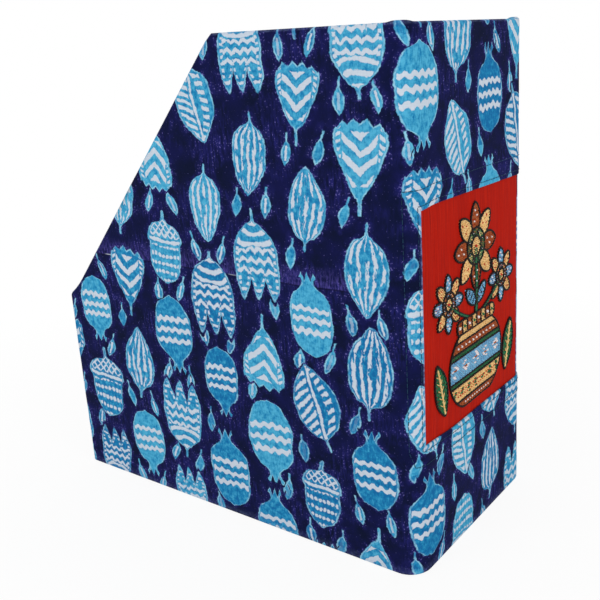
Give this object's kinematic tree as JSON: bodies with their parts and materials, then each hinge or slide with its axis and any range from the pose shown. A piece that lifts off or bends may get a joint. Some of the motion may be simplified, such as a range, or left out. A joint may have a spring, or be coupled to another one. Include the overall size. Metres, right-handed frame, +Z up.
{
  "type": "magazine holder",
  "caption": "Upright cloth-covered magazine holder with a sloping open front, rounded spine corners and an embroidered panel on the spine.",
  "frame": {"origin": "middle of the underside, on the surface that the holder stands on", "axes": "+Z up, -Y towards the low open front, +Y towards the tall spine, X across the width"},
  "size_m": [0.142, 0.28, 0.3],
  "materials": {
    "millboard": "matt grey-brown board",
    "gummed_linen": "brown gummed linen tape",
    "printed_cotton": "navy cotton, hand block printed in blue and white",
    "red_slub_cotton": "red slub weave cotton",
    "backing_cotton": "thin unbleached cotton",
    "embroidery_thread": "stranded cotton, satin and seed stitches",
    "lining_card": "thin grey card",
    "lining_cotton": "plain navy cotton",
    "underside_cotton": "plain navy cotton"
  },
  "bodies": {
    "root": {"base_board": "millboard", "floor_lining_card": "lining_card", "floor_lining_cloth": "lining_cotton", "floor_tape_front": "gummed_linen", "floor_tape_left": "gummed_linen", "floor_tape_right": "gummed_linen", "floor_tape_spine": "gummed_linen", "front_board": "millboard", "front_corner_tape_left": "gummed_linen", "front_corner_tape_right": "gummed_linen", "front_lining_card": "lining_card", "front_lining_cloth": "lining_cotton", "left_lining_card": "lining_card", "left_lining_cloth": "lining_cotton", "panel_backing": "backing_cotton", "panel_embroidery": "embroidery_thread", "print_wrap_cloth": "printed_cotton", "right_lining_card": "lining_card", "right_lining_cloth": "lining_cotton", "spine_lining_card": "lining_card", "spine_lining_cloth": "lining_cotton", "spine_panel_cloth": "red_slub_cotton", "underside_cloth": "underside_cotton", "wrap_board": "millboard"}
  },
  "joints": []
}
